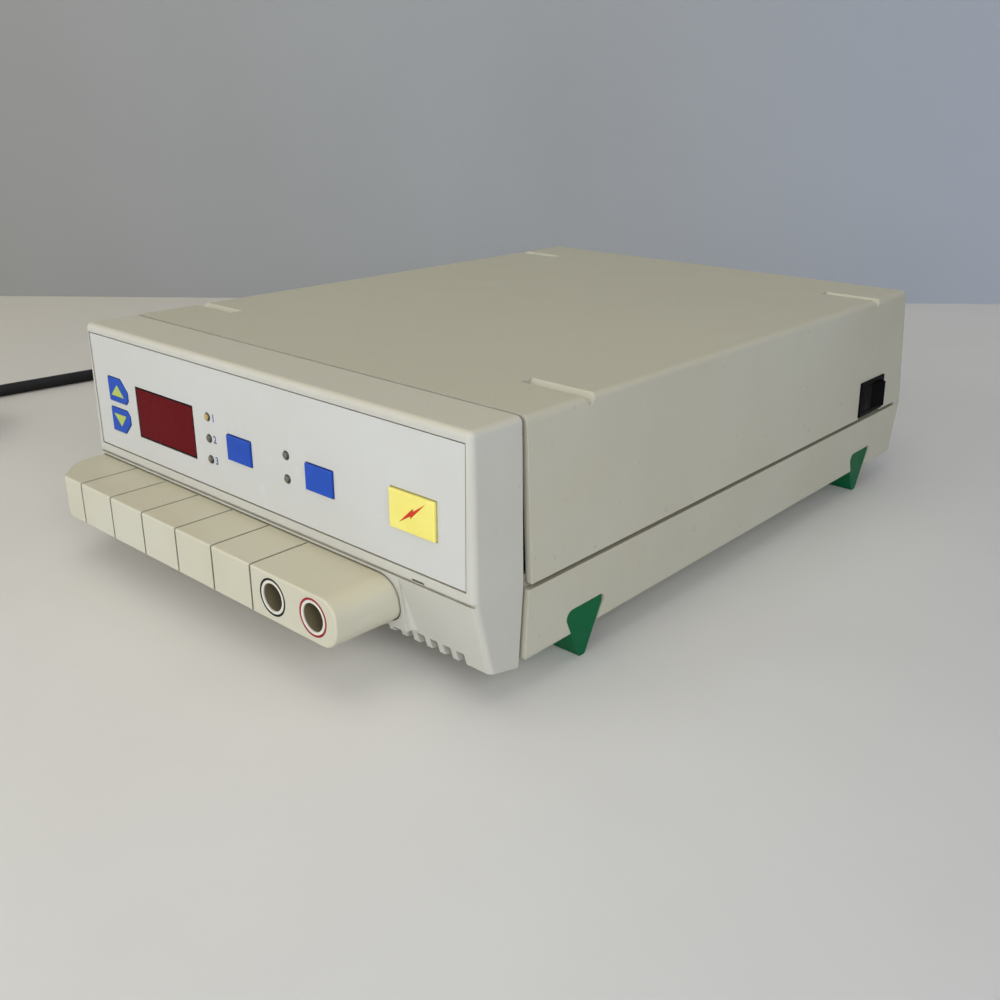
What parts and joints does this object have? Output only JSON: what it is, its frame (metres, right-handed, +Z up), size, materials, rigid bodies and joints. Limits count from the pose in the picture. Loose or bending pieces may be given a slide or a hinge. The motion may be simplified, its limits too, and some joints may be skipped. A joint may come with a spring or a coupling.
{
  "type": "electroporator",
  "caption": "Low bench pulse generator in a two-part moulded case, with a keyed front panel, an output ledge with two shrouded sockets, V-shaped feet and a mains cord.",
  "frame": {"origin": "middle of the footprint of the instrument without its cord, on the table", "axes": "+Z up, -Y towards the user (the panel faces -Y), +X to the user's right"},
  "size_m": [0.4726, 0.5794, 0.0911],
  "materials": {
    "black_plastic": "satin",
    "board_green": "satin lacquer",
    "brass": "turned",
    "capacitor_case": "satin",
    "cord_rubber": "satin",
    "cream_bezel": "fine grained moulded plastic",
    "cream_ledge": "satin moulded plastic",
    "cream_shell": "fine grained moulded plastic",
    "dark_parts": "matte",
    "display_red": "gloss filter",
    "foot_green": "satin",
    "fuse_glass": "clear",
    "key_blue": "satin",
    "key_yellow": "satin",
    "lamp_lens": "gloss",
    "panel_grey": "satin film",
    "pin_metal": "nickel plated",
    "rear_metal": "brushed",
    "resistor_metal": "anodised",
    "ring_black": "satin",
    "ring_red": "satin",
    "screw_steel": "plated",
    "socket_white": "satin",
    "transformer_iron": "varnished"
  },
  "bodies": {
    "instrument": {"base_tray": "cream_shell", "black_output_lead": "ring_black", "black_socket_contact": "brass", "black_socket_ring": "ring_black", "black_socket_sleeve": "socket_white", "case_screws": "screw_steel", "control_panel": "panel_grey", "cord_coil": "cord_rubber", "cord_run": "cord_rubber", "display_board": "board_green", "display_module": "dark_parts", "display_window": "display_red", "foot_front_left": "foot_green", "foot_front_right": "foot_green", "foot_rear_left": "foot_green", "foot_rear_right": "foot_green", "front_bezel": "cream_bezel", "indicator_lamps": "lamp_lens", "inlet_pins": "pin_metal", "key_switches": "dark_parts", "limiting_resistor": "resistor_metal", "main_board": "board_green", "mains_connector": "cord_rubber", "mains_inlet": "black_plastic", "mains_plug": "cord_rubber", "mains_transformer": "transformer_iron", "output_ledge": "cream_ledge", "plug_pins": "pin_metal", "power_switch_frame": "black_plastic", "pulse_capacitor": "capacitor_case", "rear_panel": "rear_metal", "rear_panel_screws": "screw_steel", "red_output_lead": "ring_red", "red_socket_contact": "brass", "red_socket_ring": "ring_red", "red_socket_sleeve": "socket_white", "step_up_module": "dark_parts", "top_cover": "cream_shell"},
    "up_key": {"up_key": "key_blue"},
    "down_key": {"down_key": "key_blue"},
    "settings_key": {"settings_key": "key_blue"},
    "measurement_key": {"measurement_key": "key_blue"},
    "pulse_key": {"pulse_key": "key_yellow"},
    "rocker": {"power_rocker": "black_plastic"},
    "fuse_holder": {"fuse_drawer": "black_plastic", "fuse": "fuse_glass"}
  },
  "joints": [
    {"name": "up_key_press", "type": "slide", "parent": "instrument", "child": "up_key", "axis": [0, 1, 0], "range_m": [0, 0.0007], "stiffness_N_per_m": 900, "springref_m": -0.0005},
    {"name": "down_key_press", "type": "slide", "parent": "instrument", "child": "down_key", "axis": [0, 1, 0], "range_m": [0, 0.0007], "stiffness_N_per_m": 900, "springref_m": -0.0005},
    {"name": "settings_key_press", "type": "slide", "parent": "instrument", "child": "settings_key", "axis": [0, 1, 0], "range_m": [0, 0.0007], "stiffness_N_per_m": 900, "springref_m": -0.0005},
    {"name": "measurement_key_press", "type": "slide", "parent": "instrument", "child": "measurement_key", "axis": [0, 1, 0], "range_m": [0, 0.0007], "stiffness_N_per_m": 900, "springref_m": -0.0005},
    {"name": "pulse_key_press", "type": "slide", "parent": "instrument", "child": "pulse_key", "axis": [0, 1, 0], "range_m": [0, 0.0007], "stiffness_N_per_m": 900, "springref_m": -0.0005},
    {"name": "rocker_tilt", "type": "hinge", "parent": "instrument", "child": "rocker", "pos_m": [0.10321, 0.12731, 0.04652], "axis": [-0.0386, 0, 0.9993], "range_deg": [0, 16]},
    {"name": "fuse_holder_slide", "type": "slide", "parent": "instrument", "child": "fuse_holder", "axis": [0, 1, 0], "range_m": [0, 0.014]}
  ]
}
